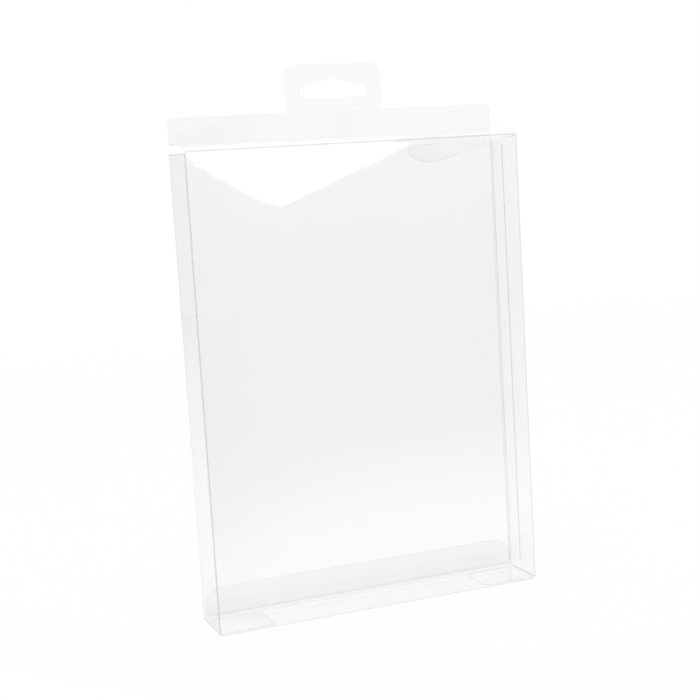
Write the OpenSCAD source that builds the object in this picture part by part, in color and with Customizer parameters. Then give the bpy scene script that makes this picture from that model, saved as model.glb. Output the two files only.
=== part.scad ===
// Clear folding box with a hang tab: one die-cut, creased and glued sheet of clear film.
// Millimetres. The origin is at the centre of the base, +X is to the right, +Y to the back and +Z up.

/* [Box] */
// Outside width of the box
box_w = 150; // [120:1:200]
// Outside depth of the box
box_d = 24.5; // [20:0.5:40]
// Height of the front panel, from the base to its top fold
box_h = 201; // [120:1:260]
// How far the side panels' top folds lie below the front panel's top fold
side_drop = 0.8; // [0.4:0.1:2]

/* [Film] */
// Thickness of the clear film
film_t = 0.3; // [0.2:0.05:0.5]
// Inside radius of a creased fold
fold_r = 0.3; // [0.2:0.05:0.6]
// Gap in a crease between two panels that turn on each other, beyond half the film's thickness
crease_clear = 0.1; // [0.1:0.05:0.3]

/* [Glue flap] */
// Width of the glue flap, from the back of the box
glue_w = 11; // [6:0.5:15]
// Slope of the glue flap's two ends, in degrees
glue_end_slope = 14; // [5:1:30]
// Height of the glue flap's lower end at its fold
glue_foot = 3.1; // [2.5:0.1:8]
// Distance from the back of the box to the free rear edge of the right side panel
lap_setback = 0.9; // [0.9:0.1:2]

/* [Header] */
// Height of the header's root crease above the front panel's top fold
header_rise = 3; // [1:0.5:4]
// Slope at which the top panel leaves the front panel's top fold, in degrees
crown_slope = 21; // [18:1:35]
// Height of the header above its root crease
header_h = 11; // [8:0.5:25]
// Radius of the header's top corners
header_corner_r = 2; // [1:0.25:4]

/* [Hang tab] */
// Width of the hang tab
tab_w = 44; // [38:1:60]
// Height of the hang tab above the header
tab_h = 20; // [18:0.5:30]
// Radius of the tab's top corners
tab_corner_r = 4.5; // [2:0.5:8]
// Radius of the small fillets where the tab meets the header
tab_root_r = 1; // [0.5:0.25:2]
// Width of the hang slot
slot_w = 32; // [24:0.5:34]
// Height of the hang slot at its peak
slot_h = 8.5; // [8:0.25:10]
// Height of the slot's two round ends
slot_end_h = 4.8; // [4.5:0.1:6]
// Radius of the slot's peak
slot_peak_r = 4; // [3:0.25:4]
// Height of the slot's straight lower edge above the header's top edge
slot_foot = 5.5; // [4:0.5:7]

/* [Top dust flaps] */
// Length of a top dust flap
top_dust_l = 45; // [20:1:50]
// Droop of a top dust flap below level, in degrees
top_dust_droop = 8.5; // [0:0.5:15]
// Radius of a top dust flap's corners
top_dust_r = 8.5; // [2:0.5:9]

/* [Bottom dust flaps] */
// Length of a bottom dust flap
bottom_dust_l = 24.5; // [15:0.5:40]
// Radius of a bottom dust flap's corners
bottom_dust_r = 2; // [1:0.5:6]

/* [Bottom lid] */
// Inside radius of the bend at the lid's rear
lid_bend_r = 1.8; // [1.5:0.1:3]
// Height of the tuck flap's top edge above the base
tuck_top = 14.2; // [12:0.1:20]
// Radius of the tuck flap's top corners
tuck_corner_r = 8; // [2:0.5:9]

/* [Clearances] */
// Gap between the tuck flap and the back panel
tuck_clear = 1.2; // [1.2:0.1:2]
// Gap between the lid and what lies on it
lid_clear = 0.3; // [0.3:0.05:0.6]
// Gap between the lid's ends and the glue flap
side_clear = 0.3; // [0.3:0.05:1]
// Gap between a dust flap's edges and the front and back panels
dust_clear = 0.5; // [0.3:0.1:1]

/* [Hidden] */
film_color = [0.9, 0.93, 0.95, 0.45];
flap_color = [0.78, 0.86, 0.92, 0.45];
$fn = 96;
crown_fn = 720;
// How far the hang slot's straight slopes run inside its round ends and peak, so that they cross
slope_lap = 0.005;

half_w = box_w / 2;
half_d = box_d / 2;
bend_r = fold_r + film_t;
crease_gap = film_t / 2 + crease_clear;
panel_half = half_w - bend_r;
lap_x = half_w - film_t;
glue_x = lap_x - film_t;

lid_half = glue_x - side_clear;
side_bottom = film_t + lid_clear;
side_top = box_h - side_drop;
wall_bottom = side_bottom + bend_r;
wall_top = side_top - bend_r;

header_root = box_h + header_rise;
header_top = header_root + header_h;
ply_front = half_d - 2 * film_t;
ply_foot = header_root - 2 * film_t;

lid_axis = [-half_d + film_t / 2, film_t / 2];
tuck_back = half_d - film_t - tuck_clear;
tuck_front = tuck_back - film_t;
bend_y = tuck_front - lid_bend_r;
bend_z = film_t + lid_bend_r;
tuck_axis = [tuck_back - film_t / 2, bend_z + crease_gap / 2];
tuck_root = bend_z + crease_gap;

dust_front = -half_d + film_t + dust_clear;
dust_back = half_d - film_t - dust_clear;

// Direction in the plane at an angle in degrees
function heading(a) = [cos(a), sin(a)];

// Part of a flat ring about the origin, from angle a0 to angle a1, less than half a turn
module ring_sector(r_in, r_out, a0, a1) {
    reach = 2 * r_out;
    intersection() {
        difference() {
            circle(r_out);
            circle(r_in);
        }
        polygon([[0, 0], reach * heading(a0), reach * heading((a0 + a1) / 2), reach * heading(a1)]);
    }
}

// Crease of a fold that starts at angle a0, seen along the crease
module fold(centre, a0, a1) {
    translate(centre) ring_sector(fold_r, bend_r, a0, a1);
}

// Plate as wide as w that stands on y = 0 and has its two top corners rounded
module round_top(w, h, r) {
    intersection() {
        translate([-w / 2, 0]) square([w, h]);
        union() {
            translate([-w / 2, -r]) square([w, h]);
            translate([-w / 2 + r, 0]) square([w - 2 * r, h]);
            for (side = [-1, 1]) {
                translate([side * (w / 2 - r), h - r]) circle(r);
            }
        }
    }
}

// Extrudes a profile drawn in Y and Z along X, to both sides of the middle
module along_x(half) {
    rotate([90, 0, 90]) linear_extrude(2 * half, center = true) children();
}

// Extrudes an outline drawn in X and Z by one film thickness, with its rear face at y
module film_at(y) {
    translate([0, y, 0]) rotate([90, 0, 0]) linear_extrude(film_t) children();
}

// Section of the wrapped walls, seen from above: front, left side, back and right side
module wall_section() {
    translate([-panel_half, -half_d]) square([2 * panel_half, film_t]);
    translate([-half_w, -half_d + bend_r]) square([film_t, box_d - 2 * bend_r]);
    translate([-panel_half, half_d - film_t]) square([panel_half + lap_x - bend_r, film_t]);
    translate([lap_x, -half_d + bend_r]) square([film_t, box_d - bend_r - lap_setback]);
    fold([-panel_half, -half_d + bend_r], 180, 270);
    fold([panel_half, -half_d + bend_r], 270, 360);
    fold([-panel_half, half_d - bend_r], 90, 180);
}

// Glue flap: folded off the back panel and bonded to the inside of the right side
module glue_flap() {
    fold_y = half_d - bend_r;
    free_y = half_d - glue_w;
    slant = (fold_y - free_y) * tan(glue_end_slope);
    glue_top = wall_top - film_t;
    translate([glue_x, 0, 0]) rotate([90, 0, 90]) linear_extrude(film_t) polygon([
        [fold_y, glue_foot],
        [fold_y, glue_top],
        [free_y, glue_top - slant],
        [free_y, glue_foot + slant]
    ]);
    translate([0, 0, glue_foot]) linear_extrude(glue_top - glue_foot) {
        fold([lap_x - bend_r, fold_y], 0, 90);
    }
}

// Profile of the front panel and of the arched top panel, which ends inside the header's front ply
module front_and_top_profile() {
    front_foot = lid_axis[1] + crease_gap;
    fold_foot = box_h - bend_r;
    fold_centre = [-half_d + bend_r, fold_foot];
    leave_angle = 90 + crown_slope;
    leave = fold_centre + bend_r * heading(leave_angle);
    chord = [ply_front, header_root] - leave;
    crown_sweep = 2 * (crown_slope - atan2(chord[1], chord[0]));
    crown_r = norm(chord) / (2 * sin(crown_sweep / 2));
    crown_centre = leave - crown_r * heading(leave_angle);
    ply_middle = ply_front + film_t / 2;

    translate([-half_d, front_foot]) square([film_t, fold_foot - front_foot]);
    fold(fold_centre, leave_angle, 180);
    intersection() {
        translate(crown_centre) {
            ring_sector(crown_r - film_t, crown_r, leave_angle - 2 * crown_sweep, leave_angle, $fn = crown_fn);
        }
        translate([-half_d, fold_foot]) square([half_d + ply_middle, header_top - fold_foot]);
    }
}

// Outline of the header's plies without the tab
module header_outline(foot) {
    translate([0, foot]) round_top(2 * panel_half, header_top - foot, header_corner_r);
}

// Hang slot: a straight lower edge, round ends and a round peak joined by straight slopes
module slot_outline() {
    end_r = slot_end_h / 2;
    end_c = [slot_w / 2 - end_r, end_r];
    peak_c = [0, slot_h - slot_peak_r];
    span = peak_c - end_c;
    normal = heading(atan2(span[1], span[0]) - acos((end_r - slot_peak_r) / norm(span)));
    low = end_c + (end_r - slope_lap) * normal;
    high = peak_c + (slot_peak_r - slope_lap) * normal;
    polygon([[-end_c[0], 0], [end_c[0], 0], low, high, [-high[0], high[1]], [-low[0], low[1]]]);
    translate(end_c) circle(end_r);
    translate([-end_c[0], end_c[1]]) circle(end_r);
    translate(peak_c) circle(slot_peak_r);
}

// Small fillets between the tab's sides and the header's top edge
module tab_fillets() {
    for (side = [-1, 1]) {
        difference() {
            translate([side * (tab_w + tab_root_r) / 2, tab_root_r / 2]) square(tab_root_r, center = true);
            translate([side * (tab_w / 2 + tab_root_r), tab_root_r]) circle(tab_root_r);
        }
    }
}

// Back panel carried up above the side panels, as the header's rear ply with the hang tab
module hanging_ply() {
    film_at(half_d) difference() {
        union() {
            header_outline(wall_top);
            translate([0, header_top]) {
                tab_fillets();
                translate([0, -tab_root_r]) round_top(tab_w, tab_h + tab_root_r, tab_corner_r);
            }
        }
        translate([0, header_top + slot_foot]) slot_outline();
    }
}

// Header's front ply, bonded to the rear one
module front_ply() {
    film_at(half_d - film_t) header_outline(ply_foot);
}

// Outline of a dust flap, seen from above: it leaves the right side panel and points to the middle
module dust_outline(l, front, back, r) {
    w = back - front;
    translate([panel_half, (front + back) / 2]) rotate(90) round_top(w, l, r);
    translate([panel_half, front]) square([bend_r, w]);
}

// Top dust flap on the right: it droops, for nothing holds it up
module top_dust_flap() {
    centre = [panel_half, wall_top];
    flat_l = top_dust_l / cos(top_dust_droop);
    intersection() {
        translate([0, dust_back, 0]) rotate([90, 0, 0]) linear_extrude(dust_back - dust_front) {
            fold(centre, 0, 90 + top_dust_droop);
            translate(centre) rotate(top_dust_droop) translate([-flat_l, fold_r]) square([flat_l, film_t]);
        }
        translate([0, 0, side_top - box_h / 2]) linear_extrude(box_h) {
            dust_outline(top_dust_l, dust_front, dust_back, top_dust_r);
        }
    }
}

// Bottom dust flap on the right: it lies on the lid, in front of the lid's rear bend
module bottom_dust_flap() {
    translate([0, 0, side_bottom]) linear_extrude(film_t) {
        difference() {
            dust_outline(bottom_dust_l, dust_front, bend_y, bottom_dust_r);
            translate([panel_half, -half_d]) square([bend_r, box_d]);
        }
    }
    translate([0, bend_y, 0]) rotate([90, 0, 0]) linear_extrude(bend_y - dust_front) {
        fold([panel_half, wall_bottom], 270, 360);
    }
}

// All of the sheet that stays put
module sleeve() {
    color(film_color) {
        translate([0, 0, wall_bottom]) linear_extrude(wall_top - wall_bottom) wall_section();
        along_x(panel_half) front_and_top_profile();
        film_at(half_d) translate([-panel_half, 0]) square([panel_half + lap_x - bend_r, wall_top]);
        glue_flap();
        hanging_ply();
        front_ply();
        for (side = [0, 1]) {
            mirror([side, 0, 0]) top_dust_flap();
            mirror([side, 0, 0]) bottom_dust_flap();
        }
    }
}

// Bottom panel: flat on the base, with a round bend up to the tuck flap's crease
module bottom_lid() {
    lid_front = lid_axis[0] + crease_gap;
    color(flap_color) along_x(lid_half) {
        translate([lid_front, 0]) square([bend_y - lid_front, film_t]);
        translate([bend_y, bend_z]) ring_sector(lid_bend_r, lid_bend_r + film_t, 270, 360);
    }
}

// Tuck flap: stands in front of the back panel, on the lid's rear crease
module tuck_flap() {
    color(flap_color) film_at(tuck_back) {
        translate([0, tuck_root]) round_top(2 * lid_half, tuck_top - tuck_root, tuck_corner_r);
    }
}

sleeve();
bottom_lid();
tuck_flap();
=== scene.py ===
import math
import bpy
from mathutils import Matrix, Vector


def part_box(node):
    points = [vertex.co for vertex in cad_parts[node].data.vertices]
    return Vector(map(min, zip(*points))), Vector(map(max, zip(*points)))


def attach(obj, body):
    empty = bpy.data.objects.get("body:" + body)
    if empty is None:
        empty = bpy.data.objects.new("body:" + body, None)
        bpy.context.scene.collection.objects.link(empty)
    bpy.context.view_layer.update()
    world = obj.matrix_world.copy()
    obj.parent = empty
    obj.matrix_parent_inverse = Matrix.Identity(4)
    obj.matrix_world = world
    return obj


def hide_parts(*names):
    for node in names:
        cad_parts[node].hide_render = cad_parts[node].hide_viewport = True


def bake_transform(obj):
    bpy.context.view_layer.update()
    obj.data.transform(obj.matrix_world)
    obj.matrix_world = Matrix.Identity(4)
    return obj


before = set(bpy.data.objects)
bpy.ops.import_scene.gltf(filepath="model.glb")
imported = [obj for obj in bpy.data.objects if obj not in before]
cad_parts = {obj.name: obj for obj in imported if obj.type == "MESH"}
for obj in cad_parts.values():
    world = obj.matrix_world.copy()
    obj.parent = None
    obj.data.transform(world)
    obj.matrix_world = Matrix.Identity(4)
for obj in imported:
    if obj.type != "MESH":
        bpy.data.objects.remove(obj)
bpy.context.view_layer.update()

from types import SimpleNamespace

import bmesh
import bpy
from bpy.props import FloatProperty, FloatVectorProperty, PointerProperty
from mathutils import Matrix, Vector, noise

bl_info = {
    "name": "Clear Folding Box",
    "version": (1, 0, 0),
    "blender": (4, 5, 0),
    "location": "View3D > Sidebar > Folding Box",
    "description": "Builds a clear film box with a hang tab from one creased sheet",
    "category": "Add Mesh",
}

MM = 0.001
SLEEVE_LOW, SLEEVE_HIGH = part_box("sleeve")
_, LID_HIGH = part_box("bottom_lid")
TUCK_LOW, TUCK_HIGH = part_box("tuck_flap")

# Kinds of face on the sheet's middle surface.
# Each kind has one material for its outer side, one for its inner side and one for its rim.
SIDE_KINDS = 11
(
    FILM, CREASE, SOFT_CREASE, BONDED, LAPPED, JOINED,
    WORKED, SCUFFED, DROOPING, PRESSED, RESTING,
) = range(SIDE_KINDS)

FOLD_STEPS = 6
CORNER_STEPS = 8
CROWN_STEPS = 12
SUPPORT = 0.4 * MM
WELD = 0.001 * MM
SAME_STOP = 0.02 * MM

# Distances between the rows of faces on the broad panels, the narrow ones and the glue flap.
BROAD_STEP = 4 * MM
NARROW_STEP = 3 * MM
GLUE_STEP = 2.5 * MM

# Lengths over which the film's soft waves change, and where the header is free to lean.
WALL_RIPPLE = 60 * MM
HEADER_RIPPLE = 30 * MM
FLAP_RIPPLE = 18 * MM
HEADER_FREE = 9 * MM

BACK_FOOT = 0.6 * MM
FRONT_DROOP = math.radians(13.5)
REAR_DROOP = math.radians(3)
STIFF_SHARE = 0.6
# The top dust flaps' free ends keep a dimmer tint, which turns into plain film between these distances from
# the box's middle.
DIMMER_TINT_FADE = 32 * MM, 47 * MM

# Scales of the film's grain: patches of glue, long scuffs and the slight unevenness of its face.
GLUE_GRAIN = 45.0
SCUFF_GRAIN = 900.0
FACE_GRAIN = 250.0
FACE_BUMP = 0.02
FACE_DEPTH = 0.2 * MM


def size(name, text, default):
    """A length of the box, in metres."""
    return FloatProperty(
        name=name, description=text, default=default, min=0.0, unit="LENGTH", subtype="DISTANCE", precision=5
    )


def panel_slope(name, text, degrees):
    """A slope on the box, written in degrees."""
    return FloatProperty(name=name, description=text, default=math.radians(degrees), subtype="ANGLE")


def film_tint(name, text, level):
    """A neutral tint of one face of film: the share of light that it lets through."""
    return FloatVectorProperty(
        name=name, description=text, default=(level, level, level), size=3, subtype="COLOR", min=0, max=1
    )


def light_share(name, text, default):
    """A share of light, from none to all."""
    return FloatProperty(name=name, description=text, default=default, min=0, max=1, subtype="FACTOR")


def light_strength(name, text, default):
    """A strength of light."""
    return FloatProperty(name=name, description=text, default=default, min=0)


class BoxSizes(bpy.types.PropertyGroup):
    """Sizes of the folded sheet. The box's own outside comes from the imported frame."""

    film: size("Film", "Thickness of the clear film", 0.3 * MM)
    fold: size("Fold", "Radius of a creased fold, at the middle of the film", 0.45 * MM)
    front_height: size("Front height", "Height of the front panel's top fold", 201 * MM)
    side_drop: size("Side drop", "How far the side panels' top folds lie lower", 0.8 * MM)
    side_foot: size("Side foot", "Height of the side panels' bottom folds", 0.6 * MM)
    lap: size("Lap", "Distance from the back to the right side panel's free edge", 0.9 * MM)
    glue_width: size("Glue flap", "Width of the glue flap, from the back", 11 * MM)
    glue_foot: size("Glue flap foot", "Height of the glue flap's lower end at its fold", 3.1 * MM)
    glue_slope: panel_slope("Glue flap slope", "Slope of the glue flap's two ends", 14)
    glue_line: size("Glue line", "Gap between two bonded faces of film", 0.02 * MM)
    crown_slope: panel_slope("Crown slope", "Slope at which the top panel leaves the front's top fold", 21)
    header_rise: size("Header rise", "Height of the header's root above the front's top fold", 3 * MM)
    header_height: size("Header height", "Height of the header above its root", 11 * MM)
    header_corner: size("Header corner", "Radius of the header's top corners", 2 * MM)
    tab_width: size("Tab width", "Width of the hang tab", 44 * MM)
    tab_corner: size("Tab corner", "Radius of the hang tab's top corners", 4.5 * MM)
    tab_fillet: size("Tab fillet", "Radius where the tab meets the header", 1 * MM)
    slot_width: size("Slot width", "Width of the hang slot", 32 * MM)
    slot_height: size("Slot height", "Height of the hang slot at its peak", 8.5 * MM)
    slot_end: size("Slot end", "Height of the hang slot's round ends", 4.8 * MM)
    slot_peak: size("Slot peak", "Radius of the hang slot's peak", 4 * MM)
    slot_foot: size("Slot foot", "Height of the slot's lower edge above the header", 5.5 * MM)
    top_flap: size("Top dust flap", "Length of a top dust flap", 45 * MM)
    top_flap_corner: size("Top flap corner", "Radius of a top dust flap's corners", 8.5 * MM)
    bottom_flap: size("Bottom dust flap", "Length of a bottom dust flap", 24.5 * MM)
    bottom_flap_corner: size("Bottom flap corner", "Radius of a bottom dust flap's corners", 2 * MM)
    flap_clear: size("Flap clearance", "Gap between a dust flap and the panels beside it", 0.5 * MM)
    lid_bend: size("Lid bend", "Radius of the lid's rear bend, at the middle of the film", 1.95 * MM)
    tuck_corner: size("Tuck corner", "Radius of the tuck flap's top corners", 8 * MM)
    crease_gap: size("Crease gap", "Width of the crease between two panels that turn", 0.25 * MM)
    panel_wave: size("Panel wave", "How far a wall bows out of flat", 0.09 * MM)
    header_wave: size("Header wave", "How far the header and its tab lean back in waves", 0.07 * MM)
    flap_wave: size("Flap wave", "How far a dust flap ripples", 0.12 * MM)


class FilmLooks(bpy.types.PropertyGroup):
    """Finish of the clear film, its creases and its cut edges. The creases' darker tints are partly real haze
    and partly painted shade, and the cut edges' darker tints are painted shade, for the dark lines that
    refraction draws there.
    """

    tint: film_tint("Tint", "Light that one face of the film lets through", 0.997)
    gloss: light_share("Gloss", "Share of light that a face of the film mirrors head on", 0.05)
    # Crease tints: partly real haze of the bent film, partly painted shade for the dark line that refraction
    # draws along a fold.
    crease_haze_and_shade_tint: film_tint("Crease tint", "Light that one face of a crease lets through", 0.855)
    soft_crease_haze_and_shade_tint: film_tint("Soft crease tint", "Light that one face of a back fold lets through", 0.935)
    # The tuck flap and the top dust flaps' free ends let a little less light through than plain film.
    dimmer_flap_tint: film_tint("Scuffed tint", "Light that a face of a rubbed flap lets through", 0.972)
    # Moving crease tint: partly real haze, partly painted shade along the fold.
    worked_haze_and_shade_tint: film_tint("Worked crease tint", "Light that a face of a moving crease lets through", 0.94)
    # Edge tints: painted shade for the dark line that refraction draws along a cut edge.
    edge_shade_tint: film_tint("Edge tint", "Light that a cut edge lets through", 0.62)
    fine_edge_shade_tint: film_tint("Fine edge tint", "Light that a single ply's cut edge lets through", 0.86)
    bond: light_share("Bond", "Share of a glued or sealed face that is wetted, and mirrors nothing", 0.7)


class StudioLooks(bpy.types.PropertyGroup):
    """Plain studio round the box."""

    floor: light_share("Floor", "Whiteness of the floor round the box", 0.93)
    room_front: light_strength("Room in front", "Light that the film mirrors from in front of the box", 0.4)
    room_left: light_share("Room on the left", "Share of the front light that is left towards the left", 0.75)
    room_back: light_strength("Room behind", "Light that the film mirrors from behind the box", 0.78)
    room_rise: light_strength("Room above", "Extra light in front of the box from eye level up", 0.15)
    backdrop: light_strength("Backdrop", "Light that the film mirrors from behind on the right", 1.0)
    floor_white: light_share("White floor", "Share of the floor that the camera sees as plain white", 0.92)
    sun: light_strength("Key light", "Strength of the soft key light", 1.45)
    card: light_strength("Card", "Strength of the bright card that the front panel mirrors", 2.5)


def heading(angle):
    """Direction in a plane at an angle in radians."""
    return Vector((math.cos(angle), math.sin(angle)))


def arc(centre, radius, start, end, steps=FOLD_STEPS):
    """Points of an arc in a plane from one angle to another, both ends included."""
    return [Vector(centre) + radius * heading(start + (end - start) * i / steps) for i in range(steps + 1)]


def stops(low, high, step, needed=()):
    """Places from low to high about a step apart, with a support inside each end and every needed one."""
    kept = [low, high]
    for place in [low + SUPPORT, high - SUPPORT, *needed]:
        if low < place < high and all(abs(place - k) > SAME_STOP for k in kept):
            kept.append(place)
    count = max(1, round((high - low) / step))
    for i in range(1, count):
        place = low + (high - low) * i / count
        if all(abs(place - k) > 0.3 * step for k in kept):
            kept.append(place)
    return sorted(kept)


def corner_stops(edge, radius):
    """Places across a rounded corner that ends at edge, for both the left and the right one."""
    angles = [math.pi / 2 * i / CORNER_STEPS for i in range(CORNER_STEPS + 1)]
    right = [edge - radius + radius * math.sin(a) for a in angles]
    return right + [-x for x in right]


def rounded(place, low, high, top, radius):
    """Height of an end with two rounded corners, over a place between low and high."""
    over = max(low + radius - place, place - high + radius, 0.0)
    return top - radius + math.sqrt(max(radius * radius - over * over, 0.0))


def layout(s):
    """Places that several panels share, worked out from the sizes."""
    at = SimpleNamespace()
    half = s.film / 2
    at.left, at.right = SLEEVE_LOW.x + half, SLEEVE_HIGH.x - half
    at.front, at.back = SLEEVE_LOW.y + half, SLEEVE_HIGH.y - half
    at.fold_x = at.right - s.fold
    at.fold_front, at.fold_back = at.front + s.fold, at.back - s.fold
    at.glue_x = at.right - s.film - s.glue_line
    at.glue_fold_x = at.glue_x - s.fold
    at.wall_low = s.side_foot + half + s.fold
    at.wall_high = s.front_height - s.side_drop - half - s.fold
    at.glue_low, at.glue_high = s.glue_foot, at.wall_high - s.film
    at.front_low = half + s.crease_gap
    at.front_high = s.front_height - half - s.fold
    at.header_root = s.front_height + s.header_rise
    at.header_top = at.header_root + s.header_height
    at.tab_top = SLEEVE_HIGH.z
    at.flap_front = SLEEVE_LOW.y + s.film + s.flap_clear
    at.flap_back = -at.flap_front
    at.lap_y = SLEEVE_HIGH.y - s.lap
    at.lid_front = at.front + s.crease_gap
    at.lid_back = LID_HIGH.y - half
    at.lid_half = LID_HIGH.x
    at.bend_y, at.bend_z = at.lid_back - s.lid_bend, half + s.lid_bend
    at.wall_zs = stops(at.wall_low, at.wall_high, BROAD_STEP, [at.glue_low, at.glue_high])
    return at


def swell(place, low, high):
    """Zero at both ends of a panel and one over its middle."""
    share = min(max((place - low) / (high - low), 0.0), 1.0)
    return math.sin(math.pi * share)


def ripple(point, pitch):
    """Smooth swing between about -1 and 1 that repeats in no place."""
    return noise.noise(Vector(point) / pitch) * 1.6


def wall_wave(s, at, u, u_low, u_high, z, seed):
    """How far a wall stands out of flat at a place across it and a height."""
    hold = swell(u, u_low, u_high) * swell(z, at.wall_low, at.wall_high)
    return s.panel_wave * hold * (1 + ripple((u, seed * 100 * MM, z), WALL_RIPPLE))


def patch(bm, rows, kind=FILM):
    """Adds rows of points as one patch of quads."""
    corners = [[bm.verts.new(point) for point in row] for row in rows]
    for low, high in zip(corners, corners[1:]):
        for i in range(len(low) - 1):
            bm.faces.new((low[i], low[i + 1], high[i + 1], high[i])).material_index = kind


def ruled(bm, columns, low, high, steps, place, kind=FILM):
    """Adds a patch between a lower and an upper curve over its columns.

    place turns a column and a height into a point.
    """
    patch(
        bm,
        [[place(c, low(c) + (high(c) - low(c)) * i / steps) for c in columns] for i in range(steps + 1)],
        kind,
    )


def thicken(bm, name, film, looks, outward):
    """Turns a welded middle surface into closed film with its materials, and returns the object."""
    bmesh.ops.remove_doubles(bm, verts=bm.verts, dist=WELD)
    bmesh.ops.recalc_face_normals(bm, faces=bm.faces)
    bm.faces.ensure_lookup_table()
    first = min(bm.faces, key=lambda f: (f.calc_center_median() - Vector(outward[0])).length)
    if first.normal.dot(Vector(outward[1])) < 0:
        bmesh.ops.reverse_faces(bm, faces=bm.faces)
    mesh = bpy.data.meshes.new(name)
    bm.to_mesh(mesh)
    bm.free()
    sheet = bpy.data.objects.new(name, mesh)
    bpy.context.scene.collection.objects.link(sheet)
    for material in sheet_materials(looks):
        mesh.materials.append(material)
    wall = sheet.modifiers.new("Film", "SOLIDIFY")
    wall.thickness = film
    wall.offset = 0
    wall.use_even_offset = True
    wall.material_offset = SIDE_KINDS
    wall.material_offset_rim = 2 * SIDE_KINDS
    graph = bpy.context.evaluated_depsgraph_get()
    solid = bpy.data.meshes.new_from_object(sheet.evaluated_get(graph))
    sheet.modifiers.clear()
    sheet.data = solid
    solid.name = name
    bpy.data.meshes.remove(mesh)
    solid.polygons.foreach_set("use_smooth", [True] * len(solid.polygons))
    solid.set_sharp_from_angle(angle=math.radians(50))
    return sheet


def joined(nodes, source, target):
    """Links an output socket to an input socket."""
    nodes.id_data.links.new(source, target)


def new_material(name):
    """An empty node material and its output."""
    material = bpy.data.materials.get(name) or bpy.data.materials.new(name)
    material.use_nodes = True
    material.node_tree.nodes.clear()
    return material, material.node_tree.nodes, material.node_tree.nodes.new("ShaderNodeOutputMaterial")


def math_node(nodes, operation, *values):
    """A Math node whose inputs are numbers or sockets."""
    node = nodes.new("ShaderNodeMath")
    node.operation = operation
    for socket, value in zip(node.inputs, values):
        if isinstance(value, bpy.types.NodeSocket):
            joined(nodes, value, socket)
        else:
            socket.default_value = value
    return node.outputs[0]


def noise_at(nodes, scale, detail=2.0, stretch=(1, 1, 1)):
    """Noise over the object's own coordinates, in metres, stretched along its axes."""
    place = nodes.new("ShaderNodeTexCoord")
    mapping = nodes.new("ShaderNodeMapping")
    mapping.inputs["Scale"].default_value = stretch
    texture = nodes.new("ShaderNodeTexNoise")
    texture.inputs["Scale"].default_value = scale
    texture.inputs["Detail"].default_value = detail
    joined(nodes, place.outputs["Object"], mapping.inputs["Vector"])
    joined(nodes, mapping.outputs["Vector"], texture.inputs["Vector"])
    return texture.outputs["Fac"]


def ranged(nodes, value, low, high, to_low, to_high):
    """A value moved from one range to another and held there."""
    node = nodes.new("ShaderNodeMapRange")
    joined(nodes, value, node.inputs["Value"])
    for name, number in (("From Min", low), ("From Max", high), ("To Min", to_low), ("To Max", to_high)):
        node.inputs[name].default_value = number
    return node.outputs["Result"]


def clear_material(name, tint, head_on, smooth, rough, bonded=0.0, clearer=None):
    """Clear film: it mirrors more at a glance than head on, and lets the rest straight through.

    clearer holds a lighter tint, and the two distances from the box's middle between which
    the tint turns into it.
    """
    material, nodes, output = new_material(name)
    facing = nodes.new("ShaderNodeLayerWeight")
    facing.inputs["Blend"].default_value = 0.5
    glance = math_node(nodes, "POWER", facing.outputs["Facing"], 5.0)
    share = math_node(nodes, "MULTIPLY_ADD", glance, 1.0 - head_on, head_on)
    if bonded:
        dry = ranged(nodes, noise_at(nodes, GLUE_GRAIN, 3.0), bonded - 0.2, bonded, 0.0, 1.0)
        share = math_node(nodes, "MULTIPLY", share, dry)
    see = nodes.new("ShaderNodeBsdfTransparent")
    see.inputs["Color"].default_value = (*tint, 1)
    if clearer:
        lighter, near, far = clearer
        place = nodes.new("ShaderNodeTexCoord")
        split = nodes.new("ShaderNodeSeparateXYZ")
        turn = nodes.new("ShaderNodeMix")
        turn.data_type = "RGBA"
        joined(nodes, place.outputs["Object"], split.inputs[0])
        out = math_node(nodes, "ABSOLUTE", split.outputs["X"])
        joined(nodes, ranged(nodes, out, near, far, 0.0, 1.0), turn.inputs["Factor"])
        # The Mix node's colour sockets share names with its number sockets, so they go by number.
        turn.inputs[6].default_value = (*tint, 1)
        turn.inputs[7].default_value = (*lighter, 1)
        joined(nodes, turn.outputs[2], see.inputs["Color"])
    mirror = nodes.new("ShaderNodeBsdfAnisotropic")
    mirror.inputs["Color"].default_value = (1, 1, 1, 1)
    scuffs = noise_at(nodes, SCUFF_GRAIN, 4.0, (1.0, 1.0, 0.06))
    joined(nodes, ranged(nodes, scuffs, 0.45, 0.75, smooth, rough), mirror.inputs["Roughness"])
    bump = nodes.new("ShaderNodeBump")
    bump.inputs["Strength"].default_value = FACE_BUMP
    bump.inputs["Distance"].default_value = FACE_DEPTH
    joined(nodes, noise_at(nodes, FACE_GRAIN, 2.0), bump.inputs["Height"])
    joined(nodes, bump.outputs["Normal"], mirror.inputs["Normal"])
    mix = nodes.new("ShaderNodeMixShader")
    joined(nodes, share, mix.inputs[0])
    joined(nodes, see.outputs[0], mix.inputs[1])
    joined(nodes, mirror.outputs[0], mix.inputs[2])
    joined(nodes, mix.outputs[0], output.inputs["Surface"])
    return material


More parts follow.
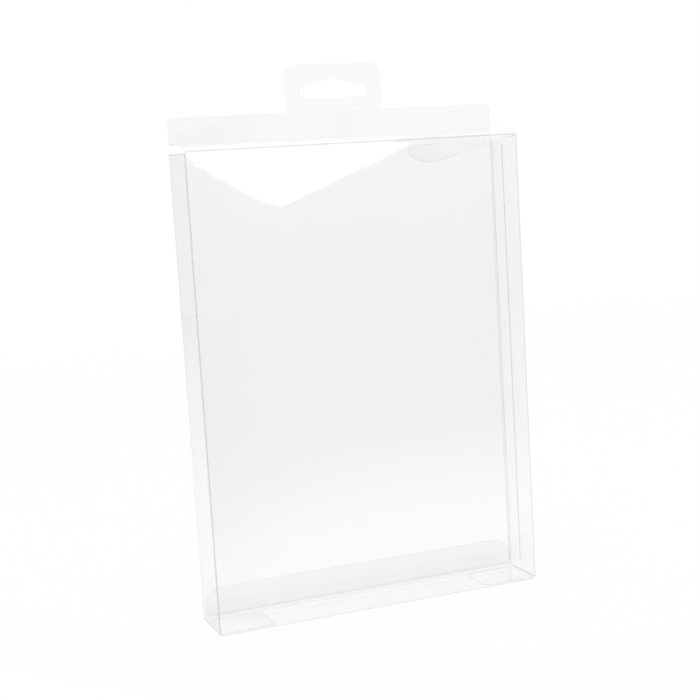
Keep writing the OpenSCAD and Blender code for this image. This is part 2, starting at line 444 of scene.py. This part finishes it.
def sheet_materials(looks):
    """Materials of the sheet's outer side, inner side and rims, in the order of the kinds of face."""
    if "creased_film" not in bpy.data.materials:
        clear_material("clear_film", looks.tint, looks.gloss, 0.01, 0.04)
        # Creases: partly real haze, partly painted shade along the folds.
        clear_material("creased_film", looks.crease_haze_and_shade_tint, looks.gloss, 0.12, 0.3)
        clear_material("soft_crease", looks.soft_crease_haze_and_shade_tint, looks.gloss, 0.08, 0.2)
        clear_material("worked_crease", looks.worked_haze_and_shade_tint, looks.gloss, 0.1, 0.25)
        clear_material("bonded_film", looks.tint, looks.gloss, 0.01, 0.04, looks.bond)
        # Tuck flap and top dust flaps' free ends: rougher, and let a little less light through than plain
        # film.
        clear_material("scuffed_film", looks.dimmer_flap_tint, looks.gloss, 0.02, 0.2)
        clear_material(
            "drooping_film", looks.dimmer_flap_tint, looks.gloss, 0.02, 0.2, clearer=(looks.tint, *DIMMER_TINT_FADE)
        )
        # Cut edges: painted shade along the rims.
        clear_material("cut_edge", looks.edge_shade_tint, 0.12, 0.2, 0.4)
        clear_material("fine_edge", looks.fine_edge_shade_tint, 0.08, 0.15, 0.35)
    film, crease, soft, worked, bonded, scuffed, drooping, edge, fine = (
        bpy.data.materials[name]
        for name in (
            "clear_film", "creased_film", "soft_crease", "worked_crease",
            "bonded_film", "scuffed_film", "drooping_film", "cut_edge", "fine_edge",
        )
    )
    outer = [film, crease, soft, film, film, film, worked, scuffed, drooping, bonded, bonded]
    inner = [film, crease, soft, bonded, bonded, film, worked, scuffed, drooping, bonded, film]
    rims = [fine, fine, fine, fine, edge, film, worked, edge, fine, fine, fine]
    return outer + inner + rims


def header_edge(s, at):
    """Upper edge of the header's rear ply over a place across it, up to the foot of the tab."""
    reach = s.tab_width / 2 + s.tab_fillet

    def height(x):
        if abs(x) >= reach:
            return rounded(x, -at.fold_x, at.fold_x, at.header_top, s.header_corner)
        run = min(reach - abs(x), s.tab_fillet)
        return at.header_top + s.tab_fillet - math.sqrt(s.tab_fillet**2 - run * run)

    return height


def slot_edges(s, at):
    """Lower and upper edge of the hang slot over a place across it.

    The third value lists the places where the upper edge turns.
    """
    end_r = s.slot_end / 2
    end_x, end_z = s.slot_width / 2 - end_r, at.header_top + s.slot_foot + end_r
    peak_z = at.header_top + s.slot_foot + s.slot_height - s.slot_peak
    span = Vector((-end_x, peak_z - end_z))
    lean = math.atan2(span.y, span.x) - math.acos((end_r - s.slot_peak) / span.length)
    low = Vector((end_x, end_z)) + end_r * heading(lean)
    high = Vector((0.0, peak_z)) + s.slot_peak * heading(lean)

    def end_reach(x):
        return math.sqrt(max(end_r**2 - max(abs(x) - end_x, 0.0) ** 2, 0.0))

    def lower(x):
        return end_z - (end_reach(x) if abs(x) < s.slot_width / 2 else 0.0)

    def upper(x):
        if abs(x) >= s.slot_width / 2:
            return end_z
        if abs(x) >= low.x:
            return end_z + end_reach(x)
        if abs(x) <= high.x:
            return peak_z + math.sqrt(s.slot_peak**2 - x * x)
        return low.y + (high.y - low.y) * (low.x - abs(x)) / (low.x - high.x)

    return lower, upper, [low.x, -low.x, high.x, -high.x, end_x, -end_x]


def header_lean(s, at, x, z):
    """How far the header and tab lean back in soft waves. They are held along the header's root."""
    free = min(max((z - at.header_root) / HEADER_FREE, 0.0), 1.0)
    return s.header_wave * free * free * (3 - 2 * free) * (1.2 + ripple((x, 0.0, 0.3 * z), HEADER_RIPPLE))


def add_walls(bm, s, at):
    """Front, side and back panels with the upright folds between them."""
    xs = stops(-at.fold_x, at.fold_x, BROAD_STEP, corner_stops(at.fold_x, s.header_corner))
    at.front_xs = xs
    _, _, turns = slot_edges(s, at)
    tab_half = s.tab_width / 2
    tab_needs = [
        *corner_stops(tab_half, s.tab_corner),
        *corner_stops(s.slot_width / 2, s.slot_end / 2),
        *[sign * (tab_half + s.tab_fillet * i / 4) for sign in (-1, 1) for i in range(5)],
        *[s.slot_peak * math.sin(math.pi / 2 * i / 4) * 0.25 for i in range(-4, 5)],
        *turns,
        0.0,
    ]
    back_needs = corner_stops(at.fold_x, s.header_corner) + tab_needs
    at.back_xs = stops(-at.fold_x, at.glue_fold_x, BROAD_STEP, back_needs)
    left_needs = [
        *corner_stops(at.flap_back, s.top_flap_corner),
        at.bend_y,
        *[at.bend_y - s.bottom_flap_corner * (1 - math.sin(math.pi / 2 * i / 4)) for i in range(4)],
        *[at.flap_front + s.bottom_flap_corner * (1 - math.sin(math.pi / 2 * i / 4)) for i in range(4)],
    ]
    at.left_ys = stops(at.fold_front, at.fold_back, NARROW_STEP, left_needs)
    at.right_ys = stops(at.fold_front, at.lap_y, NARROW_STEP, [*left_needs, SLEEVE_HIGH.y - s.glue_width])

    front_zs = [at.front_low, *at.wall_zs, at.front_high]
    back_zs = [SLEEVE_LOW.z, BACK_FOOT, *at.wall_zs]

    def front(x, z):
        return (x, at.front - wall_wave(s, at, x, -at.fold_x, at.fold_x, z, 1), z)

    def back(x, z):
        return (x, at.back + wall_wave(s, at, x, -at.fold_x, at.glue_fold_x, z, 2), z)

    def left(y, z):
        return (at.left - wall_wave(s, at, y, at.fold_front, at.fold_back, z, 3), y, z)

    def right(y, z):
        return (at.right + wall_wave(s, at, y, at.fold_front, at.lap_y, z, 4), y, z)

    patch(bm, [[front(x, z) for x in xs] for z in front_zs[:2]], JOINED)
    patch(bm, [[front(x, z) for x in xs] for z in front_zs[1:]])
    patch(bm, [[back(x, z) for x in at.back_xs] for z in back_zs])
    patch(bm, [[left(y, z) for y in at.left_ys] for z in at.wall_zs])
    single = [y for y in at.right_ys if y <= SLEEVE_HIGH.y - s.glue_width + SAME_STOP]
    lapped = [y for y in at.right_ys if y >= SLEEVE_HIGH.y - s.glue_width - SAME_STOP]
    patch(bm, [[right(y, z) for y in single] for z in at.wall_zs])
    patch(bm, [[right(y, z) for y in lapped] for z in at.wall_zs], LAPPED)
    quarter = math.pi / 2
    for centre, start, kind in (
        ((-at.fold_x, at.fold_front), 2 * quarter, CREASE),
        ((at.fold_x, at.fold_front), 3 * quarter, CREASE),
        ((-at.fold_x, at.fold_back), quarter, SOFT_CREASE),
    ):
        bend = arc(centre, s.fold, start, start + quarter)
        patch(bm, [[(p.x, p.y, z) for p in bend] for z in at.wall_zs], kind)


def add_glue_flap(bm, s, at):
    """Glue flap behind the right side panel's free edge, with its fold off the back panel."""
    held = [z for z in at.wall_zs if at.glue_low - SAME_STOP < z < at.glue_high + SAME_STOP]
    bend = arc((at.glue_fold_x, at.fold_back), s.fold, math.pi / 2, 0)
    patch(bm, [[(p.x, p.y, z) for p in bend] for z in held], SOFT_CREASE)
    free_y = SLEEVE_HIGH.y - s.glue_width
    middle = (at.glue_low + at.glue_high) / 2
    ys = stops(free_y, at.fold_back, GLUE_STEP)
    fall = math.tan(s.glue_slope)

    def height(y, z):
        short = (at.fold_back - y) * fall
        return middle + (z - middle) * (1 - short / (at.glue_high - middle))

    patch(bm, [[(at.glue_x, y, height(y, z)) for y in ys] for z in held], LAPPED)


def add_top_panel(bm, s, at):
    """Top fold, arched top panel, and the header's front ply that it turns up into."""
    half = s.film / 2
    leave = math.pi / 2 + s.crown_slope
    fold_centre = Vector((at.fold_front, at.front_high))
    start = fold_centre + (s.fold + half) * heading(leave)
    chord = Vector((SLEEVE_HIGH.y - 2 * s.film, at.header_root)) - start
    sweep = 2 * (s.crown_slope - math.atan2(chord.y, chord.x))
    crown_r = chord.length / (2 * math.sin(sweep / 2))
    crown_centre = start - crown_r * heading(leave)
    crown_mid = crown_r - half
    ply_y = at.back - s.film - s.glue_line
    arrive = math.acos((ply_y - s.fold - crown_centre.x) / (crown_mid + s.fold))
    root_centre = crown_centre + (crown_mid + s.fold) * heading(arrive)
    xs = at.front_xs

    def strip(points, kind):
        patch(bm, [[(x, p.x, p.y) for x in xs] for p in points], kind)

    strip(arc(fold_centre, s.fold, math.pi, leave), CREASE)
    strip(arc(crown_centre, crown_mid, leave, arrive, CROWN_STEPS), FILM)
    strip(arc(root_centre, s.fold, arrive - math.pi, 0), FILM)

    def ply(x, z):
        return (x, ply_y + header_lean(s, at, x, z), z)

    def top(x):
        return rounded(x, -at.fold_x, at.fold_x, at.header_top, s.header_corner)

    ruled(bm, xs, lambda x: root_centre.y, top, 8, ply, BONDED)


def add_hanging_ply(bm, s, at):
    """Back panel carried up as the header's rear ply, with the hang tab and its slot."""
    xs = [*at.back_xs, at.fold_x]
    edge = header_edge(s, at)
    lower, upper, _ = slot_edges(s, at)
    tab_half = s.tab_width / 2
    tab_xs = [x for x in xs if abs(x) <= tab_half + SAME_STOP]

    def place(x, z):
        return (x, at.back + header_lean(s, at, x, z), z)

    ruled(bm, xs, lambda x: at.wall_high, lambda x: at.header_root, 3, place)
    ruled(bm, xs, lambda x: at.header_root, edge, 8, place, BONDED)
    ruled(bm, tab_xs, edge, lower, 4, place)
    ruled(bm, tab_xs, upper, lambda x: rounded(x, -tab_half, tab_half, at.tab_top, s.tab_corner), 8, place)


def add_top_flaps(bm, s, at):
    """Two top dust flaps. Each droops more along its front edge than along its rear one."""
    for side, ys in ((-1, at.left_ys), (1, at.right_ys)):
        ys = [y for y in ys if at.flap_front - SAME_STOP < y < at.flap_back + SAME_STOP]

        def droop(y):
            share = (y - at.flap_front) / (at.flap_back - at.flap_front)
            return FRONT_DROOP + (REAR_DROOP - FRONT_DROOP) * share

        def bend(y, share):
            out = s.fold * heading(share * (math.pi / 2 + droop(y)))
            return (side * (at.fold_x + out.x), y, at.wall_high + out.y)

        def leaf(y, run):
            root = Vector((bend(y, 1)[0], bend(y, 1)[2]))
            down = droop(y)
            curl = s.flap_wave * (run / s.top_flap) * (1 + ripple((side * run, y, 0.0), FLAP_RIPPLE))
            x = root.x - side * (run * math.cos(down))
            return (x, y, root.y - run * math.sin(down) - curl)

        patch(bm, [[bend(y, i / FOLD_STEPS) for y in ys] for i in range(FOLD_STEPS + 1)], CREASE)
        ruled(bm, ys, lambda y: 0.0, lambda y: STIFF_SHARE * s.top_flap, 8, leaf, JOINED)
        ruled(
            bm, ys, lambda y: STIFF_SHARE * s.top_flap,
            lambda y: rounded(y, at.flap_front, at.flap_back, s.top_flap, s.top_flap_corner),
            7, leaf, DROOPING,
        )


def add_bottom_flaps(bm, s, at):
    """Two bottom dust flaps that lie on the lid."""
    flat_z = at.wall_low - s.fold
    for side, ys in ((-1, at.left_ys), (1, at.right_ys)):
        ys = [y for y in ys if at.flap_front - SAME_STOP < y < at.bend_y + SAME_STOP]
        bend = arc((at.fold_x, at.wall_low), s.fold, 0, -math.pi / 2)
        patch(bm, [[(side * p.x, y, p.y) for y in ys] for p in bend], CREASE)
        ruled(
            bm, ys, lambda y: 0.0,
            lambda y: rounded(y, at.flap_front, at.bend_y, s.bottom_flap, s.bottom_flap_corner),
            8, lambda y, run: (side * (at.fold_x - run), y, flat_z), PRESSED,
        )


def settings():
    """The scene's box sizes, film looks and studio looks."""
    scene = bpy.context.scene
    return scene.folding_box_sizes, scene.folding_box_looks, scene.folding_box_studio


class AddSleeve(bpy.types.Operator):
    """Fold the sleeve: walls, glue flap, top panel, header with its hang tab, and dust flaps"""

    bl_idname = "folding_box.add_sleeve"
    bl_label = "Folded Sleeve"
    bl_options = {"REGISTER", "UNDO"}

    def execute(self, context):
        s, looks, _ = settings()
        at = layout(s)
        bm = bmesh.new()
        add_walls(bm, s, at)
        add_glue_flap(bm, s, at)
        add_top_panel(bm, s, at)
        add_hanging_ply(bm, s, at)
        add_top_flaps(bm, s, at)
        add_bottom_flaps(bm, s, at)
        sheet = thicken(bm, "folded_sleeve", s.film, looks, ((0, at.front, 0.1), (0, -1, 0)))
        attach(sheet, "sleeve")
        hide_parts("sleeve")
        return {"FINISHED"}


class AddLid(bpy.types.Operator):
    """Add the bottom lid with its rear bend, and the tuck flap"""

    bl_idname = "folding_box.add_lid"
    bl_label = "Bottom Lid and Tuck Flap"
    bl_options = {"REGISTER", "UNDO"}

    def execute(self, context):
        s, looks, _ = settings()
        at = layout(s)
        xs = stops(-at.lid_half, at.lid_half, BROAD_STEP, corner_stops(at.lid_half, s.tuck_corner))
        half = s.film / 2
        bm = bmesh.new()
        ys = stops(at.lid_front, at.bend_y, NARROW_STEP)
        patch(bm, [[(x, y, half) for x in xs] for y in ys[:2]], JOINED)
        patch(bm, [[(x, y, half) for x in xs] for y in ys[1:]], RESTING)
        bend = arc((at.bend_y, at.bend_z), s.lid_bend, -math.pi / 2, 0, CORNER_STEPS)
        patch(bm, [[(x, p.x, p.y) for x in xs] for p in bend[:-1]])
        patch(bm, [[(x, p.x, p.y) for x in xs] for p in bend[-2:]], WORKED)
        lid = thicken(bm, "lid_panel", s.film, looks, ((0, 0, half), (0, 0, -1)))
        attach(lid, "bottom_lid")
        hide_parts("bottom_lid")

        bm = bmesh.new()
        root, foot = TUCK_LOW.z, TUCK_LOW.z + SUPPORT
        ruled(bm, xs, lambda x: root, lambda x: foot, 1, lambda x, z: (x, at.lid_back, z), WORKED)
        ruled(
            bm, xs, lambda x: foot,
            lambda x: rounded(x, -at.lid_half, at.lid_half, TUCK_HIGH.z, s.tuck_corner),
            6, lambda x, z: (x, at.lid_back, z), SCUFFED,
        )
        tuck = thicken(bm, "tuck_panel", s.film, looks, ((0, at.lid_back, 8 * MM), (0, 1, 0)))
        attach(tuck, "tuck_flap")
        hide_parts("tuck_flap")
        return {"FINISHED"}


class AddCreases(bpy.types.Operator):
    """Add the two creases at the lid's front and rear edges"""

    bl_idname = "folding_box.add_creases"
    bl_label = "Moving Creases"
    bl_options = {"REGISTER", "UNDO"}

    def execute(self, context):
        s, looks, _ = settings()
        at = layout(s)
        taper = at.lid_half / at.fold_x
        xs = stops(-at.fold_x, at.fold_x, BROAD_STEP)
        bm = bmesh.new()
        bend = arc((at.lid_front, at.front_low), s.crease_gap, math.pi, 1.5 * math.pi)
        patch(
            bm,
            [
                [(x * (1 + (taper - 1) * i / FOLD_STEPS), p.x, p.y) for x in xs]
                for i, p in enumerate(bend)
            ],
            WORKED,
        )
        front = thicken(bm, "front_crease", s.film, looks, ((0, at.front, 0), (0, -1, 0)))
        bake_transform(front)

        xs = stops(-at.lid_half, at.lid_half, BROAD_STEP)
        bm = bmesh.new()
        zs = [at.bend_z + (TUCK_LOW.z - at.bend_z) * i / 4 for i in range(5)]
        patch(bm, [[(x, at.lid_back, z) for x in xs] for z in zs], WORKED)
        rear = thicken(bm, "tuck_crease", s.film, looks, ((0, at.lid_back, 0), (0, 1, 0)))
        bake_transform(rear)
        return {"FINISHED"}


FLOOR_SPAN = 3.0
FLOOR_GAP = 0.2 * MM
FLOOR_FRONT = -0.33
FLOOR_BACK = 1.3
# Painted shade on the floor: its colour darkens in front of the box, more towards the front left, and far
# behind it.
FLOOR_NEAR_FADE = -0.35, -0.09
FLOOR_SLANT = 1.45
FLOOR_CORNER_FADE = -0.25, -0.12
FLOOR_NEAR_SHADE = 0.44
FLOOR_FAR_FADE = 0.2, 1.25
FLOOR_FAR_SHADE = 0.8
# Ranges of direction in which the room's tone turns, each from -1 to 1 along an axis.
ROOM_TURN = -0.35, 0.35
BACKDROP_BEHIND = 0.4, 0.7
BACKDROP_RIGHT = -0.2, 0.05
ROOM_AHEAD = -0.7, 0.0
EYE_LEVEL = -0.07, 0.01
ROOM_DIM = 0.25, 0.31
KEY_SPREAD = math.radians(60)
KEY_TURN = (math.radians(30), 0, math.radians(-12))
FILM_BOUNCES = 48
CARD_Y = -1.43
CARD_CORNERS = ((0.452, 0.1355), (0.7, 0.235), (0.2845, 0.235))
CAMERA_AT = (-0.2249, -0.5607, 0.1922)
CAMERA_TURN = math.radians(-21.47)
CAMERA_DIP = math.radians(7.56)
CAMERA_ROLL = math.radians(3.446)
CAMERA_LENS = 72.28


def flat_piece(name, points, material):
    """A single flat face that belongs to the studio."""
    mesh = bpy.data.meshes.new(name)
    mesh.from_pydata(points, [], [tuple(range(len(points)))])
    piece = bpy.data.objects.new(name, mesh)
    mesh.materials.append(material)
    bpy.context.scene.collection.objects.link(piece)
    return piece


def add_floor(studio):
    """Pale floor that the box stands on. Its colour carries painted shade: it is darker in front of the box
    and far behind it, where light falls off, for the film to mirror.

    For the camera most of its tone is plain white, and the rest keeps the shadows.
    """
    material, nodes, output = new_material("studio_floor")
    matt = nodes.new("ShaderNodeBsdfDiffuse")
    place = nodes.new("ShaderNodeTexCoord")
    split = nodes.new("ShaderNodeSeparateXYZ")
    joined(nodes, place.outputs["Object"], split.inputs[0])
    front = ranged(nodes, split.outputs["Y"], *FLOOR_NEAR_FADE, 0.0, 1.0)
    slant = math_node(nodes, "MULTIPLY_ADD", split.outputs["X"], FLOOR_SLANT, split.outputs["Y"])
    corner = ranged(nodes, slant, *FLOOR_CORNER_FADE, 0.0, 1.0)
    near = math_node(nodes, "MULTIPLY", front, corner)
    far = ranged(nodes, split.outputs["Y"], *FLOOR_FAR_FADE, 1.0, 0.0)
    # Painted shade: the floor's colour darkens away from the box, in front and far behind.
    painted_front_shade_tone = ranged(nodes, near, 0.0, 1.0, studio.floor * FLOOR_NEAR_SHADE, studio.floor)
    painted_far_shade_tone = ranged(nodes, far, 0.0, 1.0, FLOOR_FAR_SHADE, 1.0)
    joined(nodes, math_node(nodes, "MULTIPLY", painted_front_shade_tone, painted_far_shade_tone), matt.inputs["Color"])
    shadow = math_node(nodes, "MULTIPLY", near, far)
    plain = math_node(nodes, "MULTIPLY_ADD", shadow, studio.floor_white - 1.0, 1.0)
    white = nodes.new("ShaderNodeEmission")
    path = nodes.new("ShaderNodeLightPath")
    mix = nodes.new("ShaderNodeMixShader")
    joined(nodes, math_node(nodes, "MULTIPLY", path.outputs["Is Camera Ray"], plain), mix.inputs[0])
    joined(nodes, matt.outputs[0], mix.inputs[1])
    joined(nodes, white.outputs[0], mix.inputs[2])
    joined(nodes, mix.outputs[0], output.inputs["Surface"])
    corners = (
        (-FLOOR_SPAN, FLOOR_FRONT), (FLOOR_SPAN, FLOOR_FRONT),
        (FLOOR_SPAN, FLOOR_BACK), (-FLOOR_SPAN, FLOOR_BACK),
    )
    flat_piece("floor", [(x, y, -FLOOR_GAP) for x, y in corners], material)


def add_card(studio):
    """Bright card in front of the box, whose corner the upper front panel mirrors."""
    material, nodes, output = new_material("studio_card")
    glow = nodes.new("ShaderNodeEmission")
    glow.inputs["Strength"].default_value = studio.card
    joined(nodes, glow.outputs[0], output.inputs["Surface"])
    card = flat_piece("bright_card", [(x, CARD_Y, z) for x, z in CARD_CORNERS], material)
    card.visible_camera = False
    card.visible_diffuse = False
    card.visible_shadow = False


def add_world(studio):
    """White for the camera, and a room that is darker in front than behind for all other rays."""
    world = bpy.data.worlds.new("studio")
    bpy.context.scene.world = world
    world.use_nodes = True
    nodes = world.node_tree.nodes
    nodes.clear()
    output = nodes.new("ShaderNodeOutputWorld")
    white = nodes.new("ShaderNodeBackground")
    room = nodes.new("ShaderNodeBackground")
    path = nodes.new("ShaderNodeLightPath")
    place = nodes.new("ShaderNodeTexCoord")
    split = nodes.new("ShaderNodeSeparateXYZ")
    mix = nodes.new("ShaderNodeMixShader")
    white.inputs["Color"].default_value = (1, 1, 1, 1)
    room.inputs["Color"].default_value = (1, 1, 1, 1)
    joined(nodes, place.outputs["Generated"], split.inputs[0])
    shade = ranged(nodes, split.outputs["Y"], *ROOM_TURN, studio.room_front, studio.room_back)
    behind = ranged(nodes, split.outputs["Y"], *BACKDROP_BEHIND, 0.0, 1.0)
    rightward = ranged(nodes, split.outputs["X"], *BACKDROP_RIGHT, 0.0, studio.backdrop - studio.room_back)
    shade = math_node(nodes, "MULTIPLY_ADD", behind, rightward, shade)
    ahead = ranged(nodes, split.outputs["Y"], *ROOM_AHEAD, 1.0, 0.0)
    rise = ranged(nodes, split.outputs["Z"], *EYE_LEVEL, 0.0, studio.room_rise)
    shade = math_node(nodes, "MULTIPLY_ADD", ahead, rise, shade)
    dimmed = ranged(nodes, split.outputs["X"], *ROOM_DIM, studio.room_left - 1.0, 0.0)
    shade = math_node(nodes, "MULTIPLY", shade, math_node(nodes, "MULTIPLY_ADD", ahead, dimmed, 1.0))
    joined(nodes, shade, room.inputs["Strength"])
    joined(nodes, path.outputs["Is Camera Ray"], mix.inputs[0])
    joined(nodes, room.outputs[0], mix.inputs[1])
    joined(nodes, white.outputs[0], mix.inputs[2])
    joined(nodes, mix.outputs[0], output.inputs["Surface"])


def add_key_light(studio):
    """One wide soft light from the front and above."""
    light = bpy.data.lights.new("key_light", "SUN")
    light.energy = studio.sun
    light.angle = KEY_SPREAD
    lamp = bpy.data.objects.new("key_light", light)
    lamp.rotation_euler = KEY_TURN
    lamp.visible_glossy = False
    bpy.context.scene.collection.objects.link(lamp)


def add_camera():
    """Camera at the photograph's place: turned about Z, dipped, and rolled about its own axis."""
    data = bpy.data.cameras.new("camera")
    data.lens = CAMERA_LENS
    data.sensor_width = 36
    data.clip_start = 0.01
    data.clip_end = 100
    camera = bpy.data.objects.new("camera", data)
    turn = Matrix.Rotation(CAMERA_TURN, 4, "Z")
    dip = Matrix.Rotation(math.pi / 2 - CAMERA_DIP, 4, "X")
    roll = Matrix.Rotation(-CAMERA_ROLL, 4, "Z")
    camera.matrix_world = Matrix.Translation(CAMERA_AT) @ turn @ dip @ roll
    bpy.context.scene.collection.objects.link(camera)
    bpy.context.scene.camera = camera


class AddStudio(bpy.types.Operator):
    """Add the plain studio: floor, bright card, room, key light and camera"""

    bl_idname = "folding_box.add_studio"
    bl_label = "Studio"
    bl_options = {"REGISTER", "UNDO"}

    def execute(self, context):
        _, _, studio = settings()
        add_floor(studio)
        add_card(studio)
        add_world(studio)
        add_key_light(studio)
        add_camera()
        context.scene.cycles.transparent_max_bounces = FILM_BOUNCES
        context.scene.view_settings.view_transform = "Standard"
        return {"FINISHED"}


class FoldingBoxPanel(bpy.types.Panel):
    """Lists the box's pieces, its sizes and its looks"""

    bl_idname = "VIEW3D_PT_folding_box"
    bl_label = "Folding Box"
    bl_space_type = "VIEW_3D"
    bl_region_type = "UI"
    bl_category = "Folding Box"

    def draw(self, context):
        column = self.layout.column()
        for operator in OPERATORS:
            column.operator(operator.bl_idname)
        for group in settings():
            for name in group.bl_rna.properties.keys():
                if name not in ("rna_type", "name"):
                    column.prop(group, name)


OPERATORS = (AddStudio, AddSleeve, AddLid, AddCreases)
CLASSES = (BoxSizes, FilmLooks, StudioLooks, *OPERATORS, FoldingBoxPanel)


def register():
    """Registers the classes and hangs the settings on the scene."""
    for cls in CLASSES:
        bpy.utils.register_class(cls)
    bpy.types.Scene.folding_box_sizes = PointerProperty(type=BoxSizes)
    bpy.types.Scene.folding_box_looks = PointerProperty(type=FilmLooks)
    bpy.types.Scene.folding_box_studio = PointerProperty(type=StudioLooks)


def unregister():
    """Takes the settings and the classes away again."""
    del bpy.types.Scene.folding_box_sizes
    del bpy.types.Scene.folding_box_looks
    del bpy.types.Scene.folding_box_studio
    for cls in reversed(CLASSES):
        bpy.utils.unregister_class(cls)


def main():
    """Builds the dressed box in its studio."""
    register()
    bpy.ops.folding_box.add_studio()
    bpy.ops.folding_box.add_sleeve()
    bpy.ops.folding_box.add_lid()
    bpy.ops.folding_box.add_creases()


if __name__ == "__main__":
    main()
